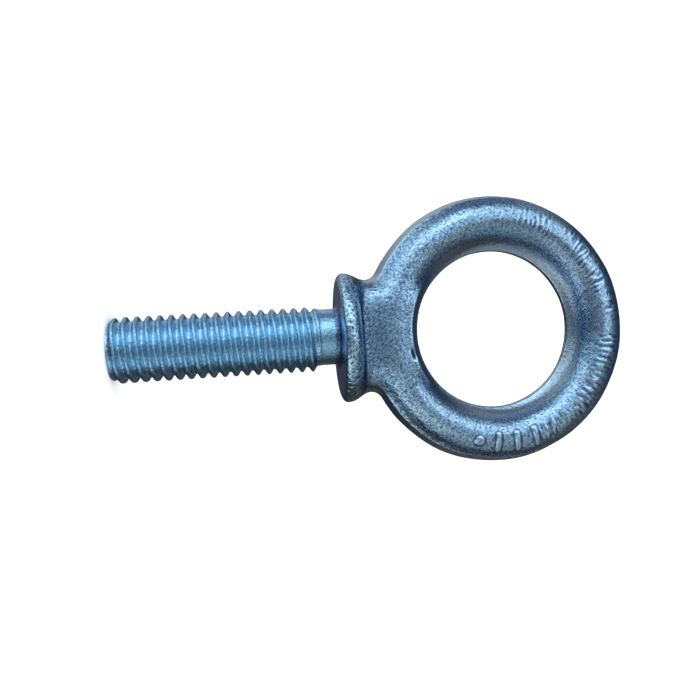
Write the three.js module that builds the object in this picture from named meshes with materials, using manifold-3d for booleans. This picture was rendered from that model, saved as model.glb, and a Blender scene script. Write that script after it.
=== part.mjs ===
// Shouldered eye bolt, 3/8-16 UNC: one drop forging with a round eye, a collar and a rolled thread.
// Millimetres. The origin is the centre of the seat under the collar, +Z runs up through the eye,
// the shank hangs down -Z and the eye lies in the XZ plane. The forging is drawn as three sections
// that meet face to face on level planes: eye, shoulder and threaded_shank.
import * as THREE from "three";
import { mergeVertices } from "three/addons/utils/BufferGeometryUtils.js";
import Module from "manifold-3d";

// Thread and shank.
const PITCH = 25.4 / 16;
const CREST_R = 4.72;
const ROOT_R = 3.92;
const CREST_FLAT = 0.32; // width of the crest along the axis
const ROOT_FLAT = 0.4; // width of the root along the axis
const SHANK_LENGTH = 32.4; // seat to tip
const TIP_R = 4.15;
const TIP_CHAMFER = 0.85;
const NECK_R = 4.0;
const THREAD_TOP = -2.6; // where the thread has run out into the neck
const RUN_OUT = 1.0;
const NECK_FILLET = 0.8;

// Collar.
const COLLAR_R = 9.5;
const SEAT_R = 8.1;
const RIM_Z = 1.6; // height of the widest part of the rounded rim
const COLLAR_TOP = 3.5; // where the rim's rounding ends and a cone leads in to the web
const CONE_TOP_R = 4.4;
const CONE_TOP_Z = 5.2;

// Eye. The section is drawn in r, the distance from the eye's centre, and t, the distance from the
// parting plane y = 0.
const EYE_CENTRE_Z = 23.3;
const EYE_OVAL = 0.988; // height of the eye over its width
const EYE_INNER_R = 11.7;
const EYE_OUTER_R = 19.9;
const EYE_HALF_THICKNESS = 4.1;
const INNER_FLAT = 0.45; // half-width of the trimmed flash line in the hole
const LAND_R = 13.2; // where the sloping land in the hole meets the rounded face
const LAND_T = 1.85;
const OUTER_DRAFT_R = 19.1; // where the rounded face meets the draft on the outside
const OUTER_DRAFT_T = 1.95;
const OUTER_FLAT = 0.3;

// Web between collar and eye.
const WEB_HALF_WIDTH = 8.4;
const WEB_SIDE_TOP = 5.4; // where its straight sides meet the eye
const WEB_TOP_ANGLE = 22; // degrees each way that its flat face reaches round the hole
const WEB_BEVEL = 1.2;

// The level planes where the sections meet. Both are exact in 32-bit numbers.
const EYE_SPLIT_Z = 4.375;
const SHANK_SPLIT_Z = -0.75;
const BEYOND = 60; // clear of the whole bolt

const EYE_SEGMENTS = 80;
const ROUND_SEGMENTS = 48;
const THREAD_SEGMENTS = 30;

const wasm = await Module();
wasm.setup();

const degrees = Math.PI / 180;
const point = (x, y) => new THREE.Vector2(x, y);

// Points of an arc of an ellipse, both ends included.
function ellipseArc(cx, cy, rx, ry, from, to, steps) {
  return Array.from({ length: steps + 1 }, (_, i) => {
    const angle = (from + ((to - from) * i) / steps) * degrees;
    return point(cx + rx * Math.cos(angle), cy + ry * Math.sin(angle));
  });
}

function solidOf(geometry) {
  const bare = geometry.clone();
  bare.deleteAttribute("normal");
  bare.deleteAttribute("uv");
  const merged = mergeVertices(bare, 1e-4);
  return new wasm.Manifold(
    new wasm.Mesh({
      numProp: 3,
      vertProperties: new Float32Array(merged.attributes.position.array),
      triVerts: new Uint32Array(merged.index.array),
    }),
  );
}

function geometryOf(solid) {
  const mesh = solid.getMesh();
  const geometry = new THREE.BufferGeometry();
  geometry.setAttribute("position", new THREE.BufferAttribute(mesh.vertProperties, 3));
  geometry.setIndex(new THREE.BufferAttribute(mesh.triVerts, 1));
  geometry.computeVertexNormals();
  return geometry;
}

// A solid of revolution about Z from an outline of (radius, height), listed upwards.
function revolved(outline, segments) {
  return solidOf(new THREE.LatheGeometry(outline, segments).rotateX(90 * degrees));
}

// A box that keeps what lies between two levels, for cutting the forging into its sections.
function slab(low, high) {
  const width = 4 * EYE_OUTER_R;
  const box = new THREE.BoxGeometry(width, width, high - low);
  return solidOf(box.translate(0, 0, (low + high) / 2));
}

// The eye's section: trimmed line and sloping land on the inside, rounded faces, draft outside.
function eyeSection() {
  const chord = OUTER_DRAFT_R - LAND_R;
  const rise = EYE_HALF_THICKNESS - (LAND_T + OUTER_DRAFT_T) / 2;
  const round = (chord * chord) / 8 / rise + rise / 2;
  const middle = (OUTER_DRAFT_R + LAND_R) / 2;
  const centre = EYE_HALF_THICKNESS - round;
  const reach = Math.atan2(LAND_T - centre, chord / 2) / degrees;
  const crown = ellipseArc(middle, centre, round, round, reach, 180 - reach, 9);
  const front = [
    point(EYE_OUTER_R, OUTER_FLAT),
    point(OUTER_DRAFT_R, OUTER_DRAFT_T),
    ...crown.slice(1, -1),
    point(LAND_R, LAND_T),
    point(EYE_INNER_R, INNER_FLAT),
  ];
  const back = front.map((p) => point(p.x, -p.y)).reverse();
  return [...front, ...back, front[0].clone()];
}

function eyeRing() {
  const ring = new THREE.LatheGeometry(eyeSection(), EYE_SEGMENTS);
  ring.scale(1, 1, EYE_OVAL); // the lathe turns about Y, which is the axis of the hole
  return solidOf(ring.translate(0, 0, EYE_CENTRE_Z));
}

// The flat-faced web: straight sides over the collar, drawn in to an arc just outside the hole.
function web() {
  const arc = ellipseArc(
    0,
    EYE_CENTRE_Z,
    LAND_R,
    LAND_R * EYE_OVAL,
    270 + WEB_TOP_ANGLE,
    270 - WEB_TOP_ANGLE,
    12,
  );
  const side = WEB_HALF_WIDTH - WEB_BEVEL;
  const outline = new THREE.Shape([
    point(-side, RIM_Z),
    point(side, RIM_Z),
    point(side, WEB_SIDE_TOP),
    ...arc.map((p) => point(p.x, p.y - WEB_BEVEL)),
    point(-side, WEB_SIDE_TOP),
  ]);
  const depth = 2 * (EYE_HALF_THICKNESS - WEB_BEVEL);
  const block = new THREE.ExtrudeGeometry(outline, {
    depth,
    bevelEnabled: true,
    bevelThickness: WEB_BEVEL,
    bevelSize: WEB_BEVEL,
    bevelSegments: 3,
    curveSegments: 1,
  });
  block.translate(0, 0, -depth / 2);
  return solidOf(block.rotateX(90 * degrees));
}

// The collar: a flat seat, a rounded rim and a top that falls in towards the web.
function collar() {
  const rimDrop = COLLAR_TOP - RIM_Z;
  const outline = [
    point(0, 0),
    ...ellipseArc(SEAT_R, RIM_Z, COLLAR_R - SEAT_R, RIM_Z, -90, 0, 6),
    ...ellipseArc(SEAT_R, RIM_Z, COLLAR_R - SEAT_R, rimDrop, 0, 90, 6).slice(1),
    point(CONE_TOP_R, CONE_TOP_Z),
    point(0, CONE_TOP_Z),
  ];
  return revolved(outline, ROUND_SEGMENTS);
}

// The top of the neck, with the fillet that leads it into the seat.
function neckStub() {
  const flare = ellipseArc(
    NECK_R + NECK_FILLET,
    -NECK_FILLET,
    NECK_FILLET,
    NECK_FILLET,
    180,
    90,
    4,
  );
  const bottom = THREAD_TOP;
  const outline = [point(0, bottom), point(NECK_R, bottom), ...flare, point(0, 0)];
  return revolved(outline, ROUND_SEGMENTS);
}

// One thread groove rolled round a rod, as a strip that climbs a pitch each turn. Station 4 of one
// turn is station 0 of the next, so the strip closes on itself, and a fan closes each end.
function threadedRod(bottom, top) {
  const flank = (PITCH - CREST_FLAT - ROOT_FLAT) / 2;
  const stations = [
    { r: ROOT_R, rise: 0 },
    { r: ROOT_R, rise: ROOT_FLAT },
    { r: CREST_R, rise: ROOT_FLAT + flank },
    { r: CREST_R, rise: ROOT_FLAT + flank + CREST_FLAT },
  ];
  const turns = Math.ceil((top - bottom) / PITCH) + 2;
  const steps = turns * THREAD_SEGMENTS;
  const positions = [];
  for (let step = 0; step <= steps; step++) {
    const angle = (step / THREAD_SEGMENTS) * 2 * Math.PI;
    const level = bottom - 2 * PITCH + (step / THREAD_SEGMENTS) * PITCH;
    for (const { r, rise } of stations)
      positions.push(r * Math.cos(angle), r * Math.sin(angle), level + rise);
  }
  // A further turn of station 0 alone tops the last turn of the strip.
  for (let step = steps + 1; step <= steps + THREAD_SEGMENTS; step++) {
    const angle = (step / THREAD_SEGMENTS) * 2 * Math.PI;
    const level = bottom - 2 * PITCH + (step / THREAD_SEGMENTS) * PITCH;
    positions.push(ROOT_R * Math.cos(angle), ROOT_R * Math.sin(angle), level);
  }
  const count = stations.length;
  const vertex = (step, station) => {
    if (station === count) return vertex(step + THREAD_SEGMENTS, 0);
    return step <= steps ? step * count + station : (steps + 1) * count + step - steps - 1;
  };
  const index = [];
  for (let step = 0; step < steps; step++)
    for (let station = 0; station < count; station++) {
      const a = vertex(step, station);
      const b = vertex(step + 1, station);
      const c = vertex(step + 1, station + 1);
      const d = vertex(step, station + 1);
      index.push(a, b, c, a, c, d);
    }
  // The open end of the strip is one loop: a turn of station 0, then back across the stations.
  const endLoop = (start) => {
    const loop = [];
    for (let step = 0; step < THREAD_SEGMENTS; step++) loop.push(vertex(start + step, 0));
    for (let station = count; station > 0; station--) loop.push(vertex(start, station));
    return loop;
  };
  const cap = (loop, level, upward) => {
    const apex = positions.length / 3;
    positions.push(0, 0, level);
    loop.forEach((from, i) => {
      const to = loop[(i + 1) % loop.length];
      index.push(...(upward ? [from, to, apex] : [to, from, apex]));
    });
  };
  cap(endLoop(0), bottom - 3 * PITCH, false);
  cap(endLoop(steps), bottom + turns * PITCH, true);
  const rod = new THREE.BufferGeometry();
  rod.setAttribute("position", new THREE.BufferAttribute(new Float32Array(positions), 3));
  rod.setIndex(index);
  return solidOf(rod);
}

// The envelope that gives the shank its chamfered tip and fades the thread out below the neck.
function shankEnvelope() {
  const clear = CREST_R + 0.2;
  const fadedR = NECK_R - 0.1;
  const outline = [
    point(0, -SHANK_LENGTH),
    point(TIP_R, -SHANK_LENGTH),
    point(clear, -SHANK_LENGTH + TIP_CHAMFER),
    point(clear, THREAD_TOP - RUN_OUT),
    point(fadedR, THREAD_TOP),
    point(0, THREAD_TOP),
  ];
  return revolved(outline, ROUND_SEGMENTS);
}

// The plain neck, sunk a little into the last turn of thread.
function neckRod() {
  const bottom = THREAD_TOP - RUN_OUT / 2;
  const outline = [
    point(0, bottom),
    point(NECK_R, bottom),
    point(NECK_R, SHANK_SPLIT_Z),
    point(0, SHANK_SPLIT_Z),
  ];
  return revolved(outline, ROUND_SEGMENTS);
}

const forging = eyeRing().add(web()).add(collar()).add(neckStub());
const eye = forging.intersect(slab(EYE_SPLIT_Z, BEYOND));
const shoulder = forging.intersect(slab(SHANK_SPLIT_Z, EYE_SPLIT_Z));
const thread = threadedRod(-SHANK_LENGTH, THREAD_TOP).intersect(shankEnvelope());
const threadedShank = thread.add(neckRod());

// Blue-white zinc plate over forged steel, smoother on the rolled thread.
const forgedZinc = { color: 0x6f8fb4, roughness: 0.42, metalness: 1 };
const rolledZinc = { color: 0x7ea6d2, roughness: 0.3, metalness: 1 };

function section(name, solid, finish) {
  const mesh = new THREE.Mesh(geometryOf(solid), new THREE.MeshStandardMaterial(finish));
  mesh.name = name;
  return mesh;
}

const eyeBolt = new THREE.Group();
eyeBolt.add(section("eye", eye, forgedZinc));
eyeBolt.add(section("shoulder", shoulder, forgedZinc));
eyeBolt.add(section("threaded_shank", threadedShank, rolledZinc));

export default eyeBolt;
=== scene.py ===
"""Shouldered eye bolt, blue-white zinc on a drop forging with a rolled 3/8-16 UNC thread.

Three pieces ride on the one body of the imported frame: the forged eye, the forged collar and the
threaded shank. Lengths in this script are millimetres in the row frame unless a name says otherwise.
The origin is the centre of the seat, +Z runs up through the eye, and the marked face looks along -Y.
"""

import math

import bmesh
import bpy
import numpy as np
from mathutils import Matrix, Vector, noise


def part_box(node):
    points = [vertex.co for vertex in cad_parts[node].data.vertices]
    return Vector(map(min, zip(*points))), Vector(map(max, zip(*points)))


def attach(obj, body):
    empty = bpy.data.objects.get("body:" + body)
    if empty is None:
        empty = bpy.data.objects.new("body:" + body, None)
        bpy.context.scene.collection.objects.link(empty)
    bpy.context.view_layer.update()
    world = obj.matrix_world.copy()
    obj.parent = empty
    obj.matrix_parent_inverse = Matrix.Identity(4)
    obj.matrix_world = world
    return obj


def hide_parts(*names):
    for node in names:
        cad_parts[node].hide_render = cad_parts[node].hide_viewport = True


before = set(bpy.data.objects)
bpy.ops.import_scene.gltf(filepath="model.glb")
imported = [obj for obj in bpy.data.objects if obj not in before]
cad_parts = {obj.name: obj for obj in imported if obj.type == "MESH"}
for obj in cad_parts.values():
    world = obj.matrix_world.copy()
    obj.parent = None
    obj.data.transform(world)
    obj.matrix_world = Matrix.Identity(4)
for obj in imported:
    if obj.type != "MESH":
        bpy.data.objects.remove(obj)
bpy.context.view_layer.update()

MM = 0.001
BODY = "root"

# ---------------------------------------------------------------- sizes of the forging

eye_low, eye_high = (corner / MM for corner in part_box("eye"))
shank_low, shank_high = (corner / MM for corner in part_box("threaded_shank"))
shoulder_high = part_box("shoulder")[1] / MM

EYE_SPLIT_Z = eye_low.z
NECK_SPLIT_Z = shank_high.z
TIP_Z = shank_low.z

EYE_OUTER_R = eye_high.x
EYE_HALF_THICKNESS = 4.1
EYE_OVAL = 0.988  # height of the eye over its width
EYE_CENTRE_Z = eye_high.z - EYE_OUTER_R * EYE_OVAL
EYE_INNER_R = 11.7
INNER_FLAT = 0.45  # half-width of the trimmed flash line in the hole
LAND_R = 13.1  # where the sloping land in the hole meets the crown's fillet
LAND_T = 1.25
LAND_FILLET = 1.2
CROWN_MIDDLE_R = 16.1
CROWN_R = 3.08
CROWN_SHIFT = (-0.12, 0.3)  # the crown's circle is a little off the hole's, along X and Z
DRAFT_R = 19.1  # where the crown meets the draft on the outside
DRAFT_T = 1.95
OUTER_FLAT = 0.3  # half-width of the trimmed flash line on the outside
LAND_TO_DRAFT_ROUND = 0.1
HOLE_EDGE_ROUND = 0.12
OUTER_EDGE_ROUND = 0.3

COLLAR_R = shoulder_high.x
COLLAR_HEIGHT = 2.75
COLLAR_TAPER = 0.42  # how far the rim draws in for each mm of height
TAPER_START = 1.1
TAPER_ROUND = 0.6
SEAT_ROUND = 1.4
RIM_ROUND = 1.6
COLLAR_SHIFT = 0.12
NECK_R = 4.1
NECK_SHIFT = -0.22

WEB_HALF_WIDTH = 8.3
WEB_TAPER = 0.12  # how far each side draws in for each mm of height
WEB_ROUND = 4.6
WEB_HOLE_R = 13.0
WEB_END_ROUND = 0.5

WEB_FILLET = 1.3
COLLAR_FILLET = 1.5
NECK_FILLET = 0.9

CREST_R = shank_high.x
ROOT_R = 4.02
PITCH = 25.4 / 16
THREAD_TOP = -2.6  # where the thread has run out into the neck
RUN_OUT = 1.3
TIP_CHAMFER = 0.85
TIP_R = 4.15
TIP_ROUND = 0.25


# ---------------------------------------------------------------- distance functions


def soft_union(a, b, k):
    """The smaller of two distances, with a fillet about k wide where they are close."""
    h = np.clip(0.5 + 0.5 * (b - a) / k, 0, 1)
    return b + (a - b) * h - k * h * (1 - h)


def soft_common(a, b, k):
    """The larger of two distances, with a rounding about k wide where they are close."""
    return -soft_union(-a, -b, k)


def step(value, low, high):
    """0 on low's side and 1 on high's, with a smooth change between; low may be the larger."""
    t = np.clip((value - low) / (high - low), 0, 1)
    return t * t * (3 - 2 * t)


def half_plane(u, v, start, end):
    """Distance from the line through two points of an outline, positive on its left."""
    du, dv = end[0] - start[0], end[1] - start[1]
    return ((v - start[1]) * du - (u - start[0]) * dv) / math.hypot(du, dv)


def hole_radius(x, z):
    """Distance from the eye's centre, in circles as oval as the eye."""
    return np.hypot(x, (z - EYE_CENTRE_Z) / EYE_OVAL)


def ring(x, y, z):
    """The eye: two crowned faces on a flange with a sloping land inside and a draft outside."""
    r = hole_radius(x, z)
    t = np.abs(y)
    across = hole_radius(x - CROWN_SHIFT[0], z - CROWN_SHIFT[1]) - CROWN_MIDDLE_R
    crown = np.hypot(across, t - (EYE_HALF_THICKNESS - CROWN_R)) - CROWN_R
    land = half_plane(r, t, (EYE_INNER_R, INNER_FLAT), (LAND_R, LAND_T))
    draft = half_plane(r, t, (DRAFT_R, DRAFT_T), (EYE_OUTER_R, OUTER_FLAT))
    flange = soft_common(land, draft, LAND_TO_DRAFT_ROUND)
    flange = soft_common(flange, np.maximum(EYE_INNER_R - r, t - DRAFT_T), HOLE_EDGE_ROUND)
    flange = soft_common(flange, r - EYE_OUTER_R, OUTER_EDGE_ROUND)
    return soft_union(crown, flange, LAND_FILLET)


def web(x, y, z):
    """The flat-faced web between collar and eye, drawn in a little towards the eye."""
    side = np.abs(x) - (WEB_HALF_WIDTH - WEB_TAPER * (z - EYE_SPLIT_Z))
    face = np.abs(y) - EYE_HALF_THICKNESS
    plate = soft_common(side, face, WEB_ROUND)
    ends = np.maximum(WEB_HOLE_R - hole_radius(x, z), COLLAR_HEIGHT / 2 - z)
    return soft_common(plate, np.maximum(ends, z - EYE_CENTRE_Z), WEB_END_ROUND)


def collar(x, y, z):
    """A disc whose rim draws in towards the eye; its underside is the flat seat."""
    across = np.hypot(x - COLLAR_SHIFT, y) - COLLAR_R
    drawn_in = (across + COLLAR_TAPER * (z - TAPER_START)) / math.hypot(1, COLLAR_TAPER)
    rim = soft_common(across, drawn_in, TAPER_ROUND)
    disc = soft_common(rim, z - COLLAR_HEIGHT, RIM_ROUND)
    return soft_common(disc, -z, SEAT_ROUND)


def neck(x, y, z):
    """The plain neck, which runs up into the collar and is cut level far below it."""
    return np.maximum(np.hypot(x - NECK_SHIFT, y) - NECK_R, z - COLLAR_HEIGHT / 2)


def head(x, y, z):
    """The eye and its web."""
    return soft_union(ring(x, y, z), web(x, y, z), WEB_FILLET)


def forging(points):
    """Distance to the whole forging above the thread, for an array of points."""
    x, y, z = points[..., 0], points[..., 1], points[..., 2]
    shouldered = soft_union(head(x, y, z), collar(x, y, z), COLLAR_FILLET)
    return soft_union(shouldered, neck(x, y, z), NECK_FILLET)


# ---------------------------------------------------------------- from distances to a mesh


SLABS = 16  # parts in which the grid's distances are worked out, to save memory


def surface_net(distance, low, high, cell):
    """Vertices and quads of the surface where distance is 0, one vertex in each cell it crosses."""
    axes = [np.arange(a, b + cell, cell) for a, b in zip(low, high)]
    grid = np.stack(np.meshgrid(*axes, indexing="ij"), -1).astype(np.float32)
    value = np.concatenate([distance(slab) for slab in np.array_split(grid, SLABS)])
    inside = value < 0
    cells = tuple(n - 1 for n in value.shape)
    corners = [(i, j, k) for i in (0, 1) for j in (0, 1) for k in (0, 1)]

    def corner(array, offset):
        return array[tuple(slice(o, o + n) for o, n in zip(offset, cells))]

    count = sum(corner(inside, o).astype(np.int8) for o in corners)
    active = np.argwhere((count > 0) & (count < 8))
    vertex_of = np.full(cells, -1)
    vertex_of[tuple(active.T)] = np.arange(len(active))

    total = np.zeros((len(active), 3))
    crossings = np.zeros(len(active))
    for a in corners:
        for axis in range(3):
            if a[axis]:
                continue
            b = tuple(o + (i == axis) for i, o in enumerate(a))
            value_a = value[tuple((active + a).T)]
            value_b = value[tuple((active + b).T)]
            crossed = (value_a < 0) != (value_b < 0)
            share = np.where(crossed, value_a / np.where(crossed, value_a - value_b, 1), 0)
            place = np.array(a, float) + share[:, None] * np.eye(3)[axis]
            total += np.where(crossed[:, None], place, 0)
            crossings += crossed
    vertices = np.array(low) + (active + total / crossings[:, None]) * cell

    quads = []
    for axis in range(3):
        u, v = (axis + 1) % 3, (axis + 2) % 3
        first = tuple(slice(None, -1) if i == axis else slice(1, -1) for i in range(3))
        second = tuple(slice(1, None) if i == axis else slice(1, -1) for i in range(3))
        changes = inside[first] != inside[second]
        starts = np.argwhere(changes) + [0 if i == axis else 1 for i in range(3)]
        leaving = inside[tuple(starts.T)]
        step_u, step_v = np.eye(3, dtype=int)[u], np.eye(3, dtype=int)[v]
        around = [starts - step_u - step_v, starts - step_v, starts, starts - step_u]
        quad = np.stack([vertex_of[tuple(c.T)] for c in around], 1)
        quads.append(np.where(leaving[:, None], quad, quad[:, ::-1]))
    return vertices, np.concatenate(quads)


def slope(distance, points, reach=0.02):
    """How fast a distance grows along X, Y and Z at each point."""
    steps = np.eye(3) * reach
    return np.stack([distance(points + s) - distance(points - s) for s in steps], -1) / (2 * reach)


def onto_surface(distance, points, rounds=2):
    """Moves each point along the slope to where the distance is 0."""
    for _ in range(rounds):
        away = slope(distance, points)
        length = np.maximum((away * away).sum(-1), 1e-6)
        points = points - (distance(points) / length)[:, None] * away
    return points


def neighbour_mean(points, quads):
    """The mean of each vertex's neighbours along the quads' edges."""
    total = np.zeros_like(points)
    count = np.zeros(len(points))
    for i in range(4):
        for j in ((i + 1) % 4, (i - 1) % 4):
            for axis in range(3):
                total[:, axis] += np.bincount(
                    quads[:, i], points[quads[:, j], axis], minlength=len(points)
                )
            count += np.bincount(quads[:, i], minlength=len(points))
    return total / count[:, None]


def vertex_normals(points, quads):
    """The unit normal at each vertex, from the quads round it."""
    across = points[quads[:, 2]] - points[quads[:, 0]]
    other = points[quads[:, 3]] - points[quads[:, 1]]
    face = np.cross(across, other)
    total = np.zeros_like(points)
    for i in range(4):
        for axis in range(3):
            total[:, axis] += np.bincount(quads[:, i], face[:, axis], minlength=len(points))
    return total / np.linalg.norm(total, axis=1, keepdims=True)


# ---------------------------------------------------------------- as-forged relief


SEED_STEP = 19.7  # how far apart two seeds sample the noise


def mottle(points, size, seed, stretch=(1, 1, 1)):
    """Smooth noise from about -1 to 1 whose lumps are size wide, at each point."""
    scaled = points / (size * np.array(stretch)) + seed * SEED_STEP
    return np.array([noise.noise(Vector(p)) for p in scaled])


TALLY_RADIUS = 16.6
TALLY_START = 104.0  # degrees round the eye from its top
TALLY_STEP = 10.0
BAR_LENGTH = 3.0
BAR_WIDTH = 0.65
DOT_R = 0.65
MARK_HEIGHT = 0.19
MARK_SLOPE = (-0.22, 0.1)  # the mark rises from this far outside its outline to this far inside


def tally(points):
    """Height of a plain raised tally on the front of the eye: a dot, then three short bars."""
    height = np.zeros(len(points))
    x, z = points[:, 0], points[:, 2] - EYE_CENTRE_Z
    for place in range(4):
        angle = math.radians(TALLY_START - place * TALLY_STEP)
        out = np.array((math.sin(angle), math.cos(angle)))
        along = x * out[0] + z * out[1] - TALLY_RADIUS
        across = x * out[1] - z * out[0]
        if place == 0:
            edge = np.hypot(along, across) - DOT_R
        else:
            beyond = np.maximum(np.abs(along) - BAR_LENGTH / 2 + BAR_WIDTH / 2, 0)
            edge = np.hypot(beyond, across) - BAR_WIDTH / 2
        mark = step(-edge, *MARK_SLOPE)
        height = np.maximum(height, np.where(points[:, 1] < 0, mark, 0))
    return height * MARK_HEIGHT


WRINKLE_WIDTH = 0.46
WRINKLE_LENGTH = 1.4
WRINKLE_DEPTH = 0.14
WRINKLES_FROM_R = (14.8, 16.0)  # pairs like this are the low and high of one step
WRINKLES_TO_R = (18.8, 17.6)
WRINKLES_FROM_Z = (0, 9)  # above the eye's centre
WRINKLE_PATCH = 3.2
WRINKLE_PATCHES = (-0.45, 0.15)


def wrinkles(points):
    """Short radial folds on the outer shoulder of the eye's crown, most of them far from the web."""
    x, z = points[:, 0], points[:, 2] - EYE_CENTRE_Z
    r = hole_radius(points[:, 0], points[:, 2])
    along = np.arctan2(x, z) * CROWN_MIDDLE_R / WRINKLE_WIDTH
    folds = mottle(np.stack([along, r / WRINKLE_LENGTH, np.sign(points[:, 1])], -1), 1.0, 8)
    where = step(r, *WRINKLES_FROM_R) * step(r, *WRINKLES_TO_R) * step(z, *WRINKLES_FROM_Z)
    patchy = step(mottle(points, WRINKLE_PATCH, 9), *WRINKLE_PATCHES)
    return WRINKLE_DEPTH * folds * where * patchy


NICK_AT = (2.9, -12.85)  # from the eye's centre, along X and Z
NICK_LENGTH = 0.75
NICK_WIDTH = 0.26
NICK_DEPTH = 0.7


def nick(points):
    """Depth of the small notch on the front, beside the hole, where the land meets the web."""
    radius = math.hypot(*NICK_AT)
    out = np.array(NICK_AT) / radius
    x, z = points[:, 0], points[:, 2] - EYE_CENTRE_Z
    across = (x * out[0] + z * out[1] - radius) / NICK_WIDTH
    along = (x * out[1] - z * out[0]) / NICK_LENGTH
    dent = np.exp(-(across**2) - along**4)
    return NICK_DEPTH * np.where(points[:, 1] < 0, dent, 0)


LAND_ZONE_R = (LAND_R + 0.5, LAND_R - 0.2)
DRAFT_ZONE_R = (DRAFT_R - 0.2, DRAFT_R + 0.3)
FLASH_ZONE_Y = (3.2, 2.2)
FLASH_ZONE_Z = (0.2, 0.6)
CORNER_SHADE_ZONE = (1.3, 0.1)  # distances from both faces of the corner, over which its painted shade comes in


def trimmed_share(points):
    """1 on the smooth edges where the flash was sheared off, and 0 on the forged faces."""
    x, y, z = points.T
    r = hole_radius(x, z)
    inner = step(r, *LAND_ZONE_R)
    outer = step(r, *DRAFT_ZONE_R) * step(np.abs(y), *FLASH_ZONE_Y) * step(z, *FLASH_ZONE_Z)
    return np.clip(inner + outer, 0, 1)


def painted_corner_shade(points):
    """Share of painted shade: 1 deep in the corner between web and collar and in the nick, 0 elsewhere.
    """
    x, y, z = points.T
    corner = step(np.maximum(head(x, y, z), collar(x, y, z)), *CORNER_SHADE_ZONE)
    return np.maximum(corner, nick(points) / NICK_DEPTH)


# Widths and heights of the lumps, from the widest to the finest.
SWELL_SIZE, SWELL_HEIGHT = 5.0, 0.09
LUMP_SIZE, LUMP_HEIGHT = 1.7, 0.030
PEBBLE_SIZE, PEBBLE_HEIGHT = 0.6, 0.024
GRAIN_SIZE, GRAIN_HEIGHT = 0.3, 0.020
PIT_SIZE, PIT_DEPTH = 0.7, 0.03
PIT_EDGE = (0.3, 0.6)

# Shares by which the lumps are lower or higher than elsewhere.
TRIMMED_SMOOTHER = 0.75
WEB_SMOOTHER = 0.6
EYE_SMOOTHER = 0.3
RIM_ROUGHER = 1.7

# Where those places begin.
ABOVE_SEAT_Z = (-0.1, 0.6)
WEB_FACE_X = (6.5, 4.5)
WEB_FACE_R = (CROWN_MIDDLE_R + 6, CROWN_MIDDLE_R)
WEB_FACE_ROUND_AXIS = (7.5, 6.5)
RIM_ROUND_AXIS = (7.5, 8.5)
RIM_Z = (4.0, 3.0)
EYE_Z = (-10, 4)  # above the eye's centre


def relief(points):
    """How far the as-forged skin stands proud of the die's form, in mm."""
    x, y, z = points.T
    r = hole_radius(x, z)
    from_axis = np.hypot(x, y)
    rough = 1 - TRIMMED_SMOOTHER * trimmed_share(points)
    web_face = step(np.abs(x), *WEB_FACE_X) * step(r, *WEB_FACE_R)
    web_face *= step(from_axis, *WEB_FACE_ROUND_AXIS)
    coarse = rough * (1 - WEB_SMOOTHER * web_face * (z < EYE_CENTRE_Z))
    rim = step(from_axis, *RIM_ROUND_AXIS) * step(z, *RIM_Z)
    worked = 1 - EYE_SMOOTHER * step(z - EYE_CENTRE_Z, *EYE_Z) + RIM_ROUGHER * rim
    height = SWELL_HEIGHT * mottle(points, SWELL_SIZE, 1)
    height += coarse * LUMP_HEIGHT * mottle(points, LUMP_SIZE, 2)
    height += coarse * worked * PEBBLE_HEIGHT * mottle(points, PEBBLE_SIZE, 3)
    height += rough * worked * GRAIN_HEIGHT * mottle(points, GRAIN_SIZE, 4)
    pits = step(mottle(points, PIT_SIZE, 5), *PIT_EDGE)
    height -= PIT_DEPTH * pits * coarse * worked
    height *= step(z, *ABOVE_SEAT_Z)
    return height + wrinkles(points) + tally(points) - nick(points)


FINE_CELL = 0.195  # just coarse enough to keep the eye under 200,000 triangles
MARGIN = 0.6  # room round the forging in the grid
BELOW_CUT = 0.8
RELAX = 0.6  # share of the way to the neighbours' mean


def forged_mesh(cell):
    """Points, quads and point fields of the whole forging, with its relief."""
    low = (-EYE_OUTER_R - MARGIN, -COLLAR_R - MARGIN, NECK_SPLIT_Z - BELOW_CUT)
    high = (EYE_OUTER_R + MARGIN, COLLAR_R + MARGIN, eye_high.z + MARGIN)
    points, quads = surface_net(forging, low, high, cell)
    for _ in range(2):
        points = onto_surface(forging, points)
        points = (1 - RELAX) * points + RELAX * neighbour_mean(points, quads)
    points = onto_surface(forging, points)
    normals = vertex_normals(points, quads)
    trimmed = trimmed_share(points)
    # painted shade for the corner between web and collar and for the nick
    corner = painted_corner_shade(points)
    points = points + normals * relief(points)[:, None]
    proud = ((points - neighbour_mean(points, quads)) * vertex_normals(points, quads)).sum(1)
    # Of the point fields, the first marks how proud each point stands, which the plate shows as wear,
    # and the last is painted shade for the corner and the nick.
    return points, quads, {"wear_and_glint": proud / cell, "trimmed": trimmed, "corner": corner}


# ---------------------------------------------------------------- pieces


def seal(bm, cut):
    """Closes an open cut with one flat face."""
    edges = [e for e in cut if isinstance(e, bmesh.types.BMEdge)]
    for face in bmesh.ops.holes_fill(bm, edges=edges, sides=0)["faces"]:
        face.smooth = False
        for edge in face.edges:
            edge.smooth = False


def cut_level(bm, z, keep_above):
    """Cuts the mesh at a level, drops one side and closes the cut."""
    everything = bm.verts[:] + bm.edges[:] + bm.faces[:]
    made = bmesh.ops.bisect_plane(
        bm,
        geom=everything,
        dist=1e-6,
        plane_co=(0, 0, z),
        plane_no=(0, 0, 1),
        clear_inner=keep_above,
        clear_outer=not keep_above,
    )
    seal(bm, made["geom_cut"])


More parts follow.
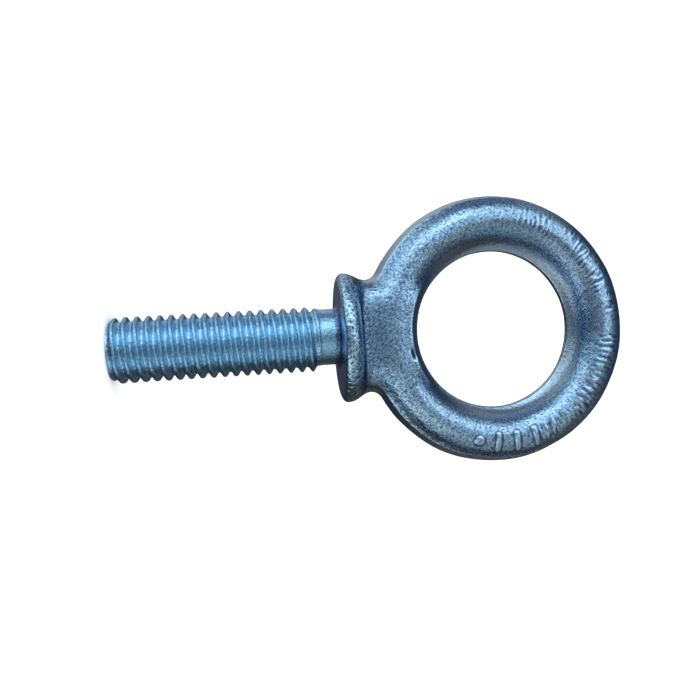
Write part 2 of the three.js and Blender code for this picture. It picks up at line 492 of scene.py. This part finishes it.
def forged_piece(name, mesh, low, high):
    """One section of the forging between two levels, closed, with the whole forging's normals."""
    points, quads, fields = mesh
    data = bpy.data.meshes.new(name)
    data.from_pydata(points.tolist(), [], quads.tolist())
    for field, values in fields.items():
        data.attributes.new(field, "FLOAT", "POINT").data.foreach_set("value", values)
    normals = vertex_normals(points, quads)
    skin = data.attributes.new("skin", "FLOAT_VECTOR", "POINT")
    skin.data.foreach_set("vector", normals.ravel())
    bm = bmesh.new()
    bm.from_mesh(data)
    for face in bm.faces:
        face.smooth = True
    if low is not None:
        cut_level(bm, low, keep_above=True)
    if high is not None:
        cut_level(bm, high, keep_above=False)
    bmesh.ops.scale(bm, vec=(MM, MM, MM), verts=bm.verts)
    bm.to_mesh(data)
    bm.free()

    wanted = np.empty(len(data.vertices) * 3, np.float32)
    data.attributes["skin"].data.foreach_get("vector", wanted)
    corner_vertex = np.empty(len(data.loops), np.int32)
    data.loops.foreach_get("vertex_index", corner_vertex)
    corners = wanted.reshape(-1, 3)[corner_vertex]
    for polygon in data.polygons:
        if not polygon.use_smooth:
            corners[polygon.loop_start : polygon.loop_start + polygon.loop_total] = polygon.normal
    data.normals_split_custom_set(corners)
    data.attributes.remove(data.attributes["skin"])
    piece = bpy.data.objects.new(name, data)
    bpy.context.scene.collection.objects.link(piece)
    return piece


TURN_STEPS = 144
PROFILE_STEPS = 16  # rows in one pitch
SPARE_TURNS = 3  # so that both cuts fall well inside the rows
FLANK = (0.12, 0.92)  # where the flank starts and ends, as shares of the way from crest to root
NECK_LEVEL = 0.6  # the neck's finish is that of this height on the thread
CREST_SMOOTHER = 0.65
NECK_LUMPS = 0.15  # the neck's lumps as a share of the thread's
RIPPLE_SIZE, RIPPLE_HEIGHT = 1.1, 0.016
RIPPLE_STRETCH = (1, 1, 0.4)
FLAW_SIZE, FLAW_HEIGHT = 0.4, 0.065
# Painted glint: how much paler the plate is painted in the thread's roots than on its crests.
PAINTED_ROOT_GLINT = 0.06
PAINTED_GLINT_FALL = 0.05  # from root to crest


def thread_height(phase):
    """0 in the root and 1 on the crest: flanks of a rolled form, with both ends rounded."""
    from_crest = np.abs((phase % 1) - 0.5) * 2
    return 1 - step(from_crest, *FLANK)


def shank_radius(angle, z):
    """Radius of the shank's surface at an angle in radians and a level."""
    phase = z / PITCH - angle / (2 * math.pi)
    fade = step(THREAD_TOP - z, 0.0, RUN_OUT)
    root = NECK_R + (ROOT_R - NECK_R) * fade
    crest = NECK_R + (CREST_R - NECK_R) * fade
    radius = root + (crest - root) * thread_height(phase)
    chamfer = TIP_R + (z - TIP_Z) * (CREST_R - TIP_R) / TIP_CHAMFER
    return soft_union(radius, chamfer, TIP_ROUND)


def shank_piece(name):
    """The threaded shank, as a surface whose rows climb with the thread, cut level at both ends."""
    rows = math.ceil((NECK_SPLIT_Z - TIP_Z) / PITCH + SPARE_TURNS) * PROFILE_STEPS
    start = TIP_Z - 2 * PITCH
    angles = np.arange(TURN_STEPS) * 2 * math.pi / TURN_STEPS
    row, column = np.meshgrid(np.arange(rows), np.arange(TURN_STEPS), indexing="ij")
    angle = angles[column]
    z = start + (row / PROFILE_STEPS + column / TURN_STEPS) * PITCH
    radius = shank_radius(angle, z)
    flat = np.stack([radius * np.cos(angle), radius * np.sin(angle), z], -1).reshape(-1, 3)
    threaded = step(THREAD_TOP - flat[:, 2], 0, RUN_OUT)
    level = (radius.ravel() - ROOT_R) / (CREST_R - ROOT_R)
    level = level * threaded + NECK_LEVEL * (1 - threaded)
    uneven = 1 - CREST_SMOOTHER * np.clip(level, 0, 1)
    lumps = RIPPLE_HEIGHT * mottle(flat, RIPPLE_SIZE, 6, RIPPLE_STRETCH)
    lumps += FLAW_HEIGHT * uneven * mottle(flat, FLAW_SIZE, 7)
    swell = 1 + lumps * (NECK_LUMPS + (1 - NECK_LUMPS) * threaded) / CREST_R
    flat[:, 0] = flat[:, 0] * swell + NECK_SHIFT * (1 - threaded)
    flat[:, 1] *= swell

    quads = []
    for j in range(rows - PROFILE_STEPS - 1):
        for i in range(TURN_STEPS):
            if i + 1 < TURN_STEPS:
                right, below, above = i + 1, j, j + 1
            else:
                right, below, above = 0, j + PROFILE_STEPS, j + PROFILE_STEPS + 1
            quads.append(
                (
                    j * TURN_STEPS + i,
                    below * TURN_STEPS + right,
                    above * TURN_STEPS + right,
                    (j + 1) * TURN_STEPS + i,
                )
            )
    data = bpy.data.meshes.new(name)
    data.from_pydata(flat.tolist(), [], quads)
    # Painted glint: a paler plate in the thread's roots stands in for the glints of light there.
    wear_and_glint = data.attributes.new("wear_and_glint", "FLOAT", "POINT")
    wear_and_glint.data.foreach_set("value", PAINTED_ROOT_GLINT - PAINTED_GLINT_FALL * level)
    bm = bmesh.new()
    bm.from_mesh(data)
    loose = [v for v in bm.verts if not v.link_faces]
    bmesh.ops.delete(bm, geom=loose, context="VERTS")
    for face in bm.faces:
        face.smooth = True
    cut_level(bm, TIP_Z, keep_above=True)
    cut_level(bm, NECK_SPLIT_Z, keep_above=False)
    bmesh.ops.scale(bm, vec=(MM, MM, MM), verts=bm.verts)
    bm.to_mesh(data)
    bm.free()
    piece = bpy.data.objects.new(name, data)
    bpy.context.scene.collection.objects.link(piece)
    return piece


# ---------------------------------------------------------------- materials


class Nodes:
    """Short calls for building one node tree."""

    def __init__(self, owner):
        owner.use_nodes = True
        self.tree = owner.node_tree
        self.tree.nodes.clear()

    def add(self, kind, **settings):
        node = self.tree.nodes.new(kind)
        for key, value in settings.items():
            setattr(node, key, value)
        return node

    def link(self, source, target):
        self.tree.links.new(source, target)

    def noise(self, vector, size_mm, detail, roughness):
        node = self.add("ShaderNodeTexNoise")
        self.link(vector, node.inputs["Vector"])
        node.inputs["Scale"].default_value = 1 / (size_mm * MM)
        node.inputs["Detail"].default_value = detail
        node.inputs["Roughness"].default_value = roughness
        return node.outputs["Fac"]

    def ramp(self, value, stops):
        node = self.add("ShaderNodeValToRGB")
        self.link(value, node.inputs["Fac"])
        points = node.color_ramp.elements
        while len(points) < len(stops):
            points.new(0.5)
        for point, (position, colour) in zip(points, stops):
            point.position = position
            point.color = (*colour, 1)
        return node.outputs["Color"]

    def mix(self, share, first, second, blend_type="MIX"):
        node = self.add("ShaderNodeMix", data_type="RGBA", blend_type=blend_type)
        self.put(share, node.inputs["Factor"])
        self.put(first, node.inputs["A"])
        self.put(second, node.inputs["B"])
        return node.outputs["Result"]

    def put(self, value, socket):
        """Links a socket, or sets a colour or a number."""
        if isinstance(value, bpy.types.NodeSocket):
            self.link(value, socket)
        elif isinstance(value, tuple):
            socket.default_value = (*value, 1)
        else:
            socket.default_value = value

    def math(self, operation, first, second):
        node = self.add("ShaderNodeMath", operation=operation)
        self.put(first, node.inputs[0])
        self.put(second, node.inputs[1])
        return node.outputs["Value"]

    def blend(self, share, first, second):
        """A share of the first number plus the rest of the second."""
        part = self.math("MULTIPLY", first, share)
        rest = self.math("MULTIPLY", second, 1 - share)
        return self.math("ADD", part, rest)

    def span(self, value, from_low, from_high, to_low, to_high, **settings):
        """Carries one range of a number over to another."""
        node = self.add("ShaderNodeMapRange", **settings)
        self.link(value, node.inputs["Value"])
        node.inputs["From Min"].default_value = from_low
        node.inputs["From Max"].default_value = from_high
        node.inputs["To Min"].default_value = to_low
        node.inputs["To Max"].default_value = to_high
        return node.outputs["Result"]

    def field(self, name):
        """The value of one of the mesh's point attributes."""
        return self.add("ShaderNodeAttribute", attribute_name=name).outputs["Fac"]

    def surface(self, shader):
        """Makes a shader the material's surface."""
        output = self.add("ShaderNodeOutputMaterial")
        self.link(shader.outputs["BSDF"], output.inputs["Surface"])


CLOUD_OVER_GRAIN = 3.2  # size of the coarse noise over that of the fine
PATCH_MM = 6.0
FINE_SHARE = 0.55
GRAIN_SHARE = 0.7  # of the tone; worn high spots and painted root glints make up the rest
WEAR_AND_GLINT_RANGE = (-0.05, 0.07)  # the field's range over which the plate turns bright: wear on high spots, painted glints in roots
DARK_TONE = 0.36
LIGHT_TONE = 0.62
STAINED = (0.5, 0.72)
STAIN_SHARE = 0.6
TRIMMED_COLOUR = (0.41, 0.55, 0.65)
TRIMMED_SHARE = 0.65
# Painted shade: the colour and share to which the corner between web and collar and the nick are
# darkened.
CORNER_SHADE_COLOUR = (0.03, 0.05, 0.10)
CORNER_SHADE_SHARE = 0.85
ROUGH_TONE = 0.3
SMOOTH_TONE = 0.65
FINE_BUMP = 0.5


def zinc(name, grain_mm, light, dark, stain, rough_low, rough_high, bump_mm):
    """Blue-white zinc plate: mottled tone, paler worn high spots and painted root glints, and a fine
    grain.
    """
    material = bpy.data.materials.new(name)
    n = Nodes(material)
    place = n.add("ShaderNodeTexCoord").outputs["Object"]
    fine = n.noise(place, grain_mm, detail=3.0, roughness=0.6)
    coarse = n.noise(place, grain_mm * CLOUD_OVER_GRAIN, detail=2.0, roughness=0.5)
    patches = n.noise(place, PATCH_MM, detail=2.0, roughness=0.5)
    # Paler plate where worn on the forging's high spots, and painted glints in the thread's roots.
    wear_and_glint_share = n.span(n.field("wear_and_glint"), *WEAR_AND_GLINT_RANGE, 0, 1)
    tone = n.blend(GRAIN_SHARE, n.blend(FINE_SHARE, fine, coarse), wear_and_glint_share)
    colour = n.ramp(tone, [(DARK_TONE, dark), (LIGHT_TONE, light)])
    stained = n.span(patches, *STAINED, 0, STAIN_SHARE)
    colour = n.mix(stained, colour, n.mix(1.0, colour, stain, "MULTIPLY"))
    trimmed = n.math("MULTIPLY", n.field("trimmed"), TRIMMED_SHARE)
    colour = n.mix(trimmed, colour, TRIMMED_COLOUR)
    # Painted shade in the corner between web and collar and in the nick.
    corner = n.math("MULTIPLY", n.field("corner"), CORNER_SHADE_SHARE)
    colour = n.mix(corner, colour, CORNER_SHADE_COLOUR)
    roughness = n.span(tone, ROUGH_TONE, SMOOTH_TONE, rough_high, rough_low)
    bump = n.add("ShaderNodeBump")
    bump.inputs["Distance"].default_value = bump_mm * MM
    n.link(n.math("ADD", n.math("MULTIPLY", fine, FINE_BUMP), coarse), bump.inputs["Height"])
    shader = n.add("ShaderNodeBsdfPrincipled")
    shader.inputs["Metallic"].default_value = 1.0
    n.link(colour, shader.inputs["Base Color"])
    n.link(roughness, shader.inputs["Roughness"])
    n.link(bump.outputs["Normal"], shader.inputs["Normal"])
    n.surface(shader)
    return material


forged_zinc = zinc(
    "forged_zinc",
    grain_mm=0.13,
    light=(0.45, 0.77, 0.98),
    dark=(0.075, 0.15, 0.33),
    stain=(1.0, 0.86, 0.88),
    rough_low=0.15,
    rough_high=0.30,
    bump_mm=0.055,
)
rolled_zinc = zinc(
    "rolled_zinc",
    grain_mm=0.13,
    light=(0.38, 0.67, 0.89),
    dark=(0.10, 0.39, 0.66),
    stain=(0.90, 0.95, 1.0),
    rough_low=0.22,
    rough_high=0.34,
    bump_mm=0.065,
)


# ---------------------------------------------------------------- the three pieces

forged = forged_mesh(FINE_CELL)
eye = forged_piece("forged_eye", forged, EYE_SPLIT_Z, None)
shoulder = forged_piece("forged_collar", forged, NECK_SPLIT_Z, EYE_SPLIT_Z)
shank = shank_piece("rolled_shank")

for piece, node, material, slot in (
    (eye, "eye", forged_zinc, "forged_zinc"),
    (shoulder, "shoulder", forged_zinc, "forged_zinc"),
    (shank, "threaded_shank", rolled_zinc, "rolled_zinc"),
):
    piece.data.materials.append(material)
    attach(piece, BODY)
    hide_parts(node)


# ---------------------------------------------------------------- floor

FLOOR_HALF = 2.0  # metres
FLOOR_WHITE = 0.97
FLOOR_ROUGHNESS = 0.9


def pale_floor():
    """A level floor at the tip's height, which the metal doesn't reflect and which casts no shadow."""
    data = bpy.data.meshes.new("floor")
    half = FLOOR_HALF
    corners = [(-half, -half, 0), (half, -half, 0), (half, half, 0), (-half, half, 0)]
    data.from_pydata(corners, [], [(0, 1, 2, 3)])
    floor = bpy.data.objects.new("floor", data)
    floor.location.z = TIP_Z * MM
    material = bpy.data.materials.new("pale_floor")
    n = Nodes(material)
    shader = n.add("ShaderNodeBsdfPrincipled")
    shader.inputs["Base Color"].default_value = (FLOOR_WHITE, FLOOR_WHITE, FLOOR_WHITE, 1)
    shader.inputs["Roughness"].default_value = FLOOR_ROUGHNESS
    shader.inputs["Specular IOR Level"].default_value = 0.0
    n.surface(shader)
    data.materials.append(material)
    floor.visible_glossy = False
    floor.visible_shadow = False
    bpy.context.scene.collection.objects.link(floor)


pale_floor()


# ---------------------------------------------------------------- light


def soft_box(name, place, aim, width, length, radiance):
    """A rectangle of light that faces aim, with its length turned as near to Z as that allows."""
    data = bpy.data.lights.new(name, "AREA")
    data.shape = "RECTANGLE"
    data.size = width * MM
    data.size_y = length * MM
    data.energy = radiance * math.pi * data.size * data.size_y
    light = bpy.data.objects.new(name, data)
    away = Vector(place) - Vector(aim)
    turn = away.to_track_quat("Z", "Y").to_matrix().to_4x4()
    light.matrix_world = Matrix.Translation(Vector(place) * MM) @ turn
    light.visible_camera = False
    bpy.context.scene.collection.objects.link(light)


soft_box("key", (-260, -260, 20), (0, 0, 20), 110, 110, 1.0)
soft_box("strip", (-260, -220, -60), (0, 0, -60), 200, 1100, 0.66)
soft_box("right_front", (-36, -134, 101), (0, 0, 38), 90, 90, 0.68)
soft_box("low_front", (50, -32, -48), (0, 0, -10), 34, 80, 1.1)
soft_box("right_side", (-20, -92, 128), (0, 0, 55), 64, 60, 0.75)
soft_box("inner_front", (49, -75, 0), (-8, -3, 35), 26, 26, 0.8)
soft_box("under_eye", (58, -42, 32), (8, 0, 24), 100, 100, 0.31)


WHITE = (1.25, 1.25, 1.25)  # over 1, so that the background comes out plain white


class Dome:
    """Light from all round: a gradient, with wide glows added and dark places laid over it."""

    def __init__(self):
        world = bpy.data.worlds.new("studio")
        bpy.context.scene.world = world
        world.cycles.sampling_method = "NONE"
        self.n = Nodes(world)
        self.direction = self.n.add("ShaderNodeTexCoord").outputs["Generated"]
        self.light = (0.0, 0.0, 0.0)

    def facing(self, toward):
        """The cosine of the angle between a direction and this one."""
        dot = self.n.add("ShaderNodeVectorMath", operation="DOT_PRODUCT")
        self.n.link(self.direction, dot.inputs[0])
        dot.inputs[1].default_value = Vector(toward).normalized()
        return dot.outputs["Value"]

    def gradient(self, toward, stops):
        share = self.n.span(self.facing(toward), -1, 1, 0, 1)
        self.light = self.n.mix(1.0, self.light, self.n.ramp(share, stops), "ADD")

    def spot(self, toward, fades_at, full_at, colour, blend_type):
        """Mixes a colour in round a direction, between two cosines of the angle from it."""
        cosine = self.facing(toward)
        share = self.n.span(cosine, fades_at, full_at, 0, 1, interpolation_type="SMOOTHSTEP")
        self.light = self.n.mix(share, self.light, colour, blend_type)

    def glow(self, toward, fades_at, full_at, colour):
        self.spot(toward, fades_at, full_at, colour, "ADD")

    def shade(self, toward, fades_at, full_at, colour):
        self.spot(toward, fades_at, full_at, colour, "MIX")

    def finish(self):
        """The metal reflects the painted light; the floor and the camera get plain white."""
        glossy = self.n.add("ShaderNodeLightPath").outputs["Is Glossy Ray"]
        background = self.n.add("ShaderNodeBackground")
        both = self.n.mix(glossy, WHITE, self.light)
        self.n.link(both, background.inputs["Color"])
        output = self.n.add("ShaderNodeOutputWorld")
        self.n.link(background.outputs["Background"], output.inputs["Surface"])


# -X is up in the picture, -Y is toward the camera and +Z is to the right.
dome = Dome()
dome.gradient(
    (-1, 0, 0),
    [
        (0.0, (0.035, 0.025, 0.02)),
        (0.15, (0.12, 0.09, 0.07)),
        (0.4, (0.26, 0.23, 0.22)),
        (0.5, (0.19, 0.20, 0.25)),
        (0.7, (0.34, 0.36, 0.38)),
        (1.0, (0.38, 0.35, 0.38)),
    ],
)
dome.glow((-0.62, -0.78, 0.05), 0.75, 0.98, (0.30, 0.34, 0.36))  # above the camera
dome.glow((-0.85, -0.35, -0.45), 0.75, 0.97, (0.35, 0.38, 0.40))  # high on the left, in front
dome.shade((-0.05, -0.10, -1.0), 0.72, 0.90, (0.06, 0.07, 0.11))  # far left
dome.shade((-0.10, 0.30, 0.95), 0.74, 0.92, (0.06, 0.08, 0.13))  # far right
dome.glow((-0.62, 0.10, -0.78), 0.85, 0.96, (0.45, 0.50, 0.52))  # high on the left
dome.shade((0.1, 0.75, -0.65), 0.60, 0.85, (0.04, 0.04, 0.05))  # behind, on the left
dome.shade((-0.98, 0.15, 0.15), 0.88, 0.96, (0.12, 0.16, 0.26))  # overhead
dome.glow((-0.60, 0.78, -0.15), 0.70, 0.90, (0.30, 0.28, 0.27))  # behind, above
dome.shade((0.0, 0.98, 0.16), 0.86, 0.97, (0.05, 0.05, 0.08))  # straight behind
dome.shade((-0.10, 0.77, 0.63), 0.78, 0.93, (0.04, 0.05, 0.08))  # behind, on the right
dome.finish()
bpy.context.scene.view_settings.view_transform = "Standard"


# ---------------------------------------------------------------- camera


LENS = 36.0
SENSOR = 36.0
NEAREST = 0.005  # metres
ROLL = 3.43  # degrees about the line of sight
SWING = 6.48  # degrees about the picture's upright
TILT = 0.94  # degrees about the picture's level
SEEN_ORIGIN = (-1.713, 1.785, -102.966)  # the seat's centre, in the camera's own axes


def lying_camera():
    """Looks along +Y from close by, rolled so that the bolt lies along the picture, eye to the right."""
    data = bpy.data.cameras.new("camera")
    data.lens = LENS
    data.sensor_width = SENSOR
    data.clip_start = NEAREST
    camera = bpy.data.objects.new("camera", data)
    lying = Matrix(((0, 0, 1), (-1, 0, 0), (0, -1, 0)))
    turn = (
        Matrix.Rotation(math.radians(ROLL), 3, "Z")
        @ Matrix.Rotation(math.radians(SWING), 3, "Y")
        @ Matrix.Rotation(math.radians(TILT), 3, "X")
        @ lying
    )
    to_row = turn.transposed()
    place = to_row @ (Vector(SEEN_ORIGIN) * -MM)
    camera.matrix_world = Matrix.Translation(place) @ to_row.to_4x4()
    bpy.context.scene.collection.objects.link(camera)
    bpy.context.scene.camera = camera


lying_camera()
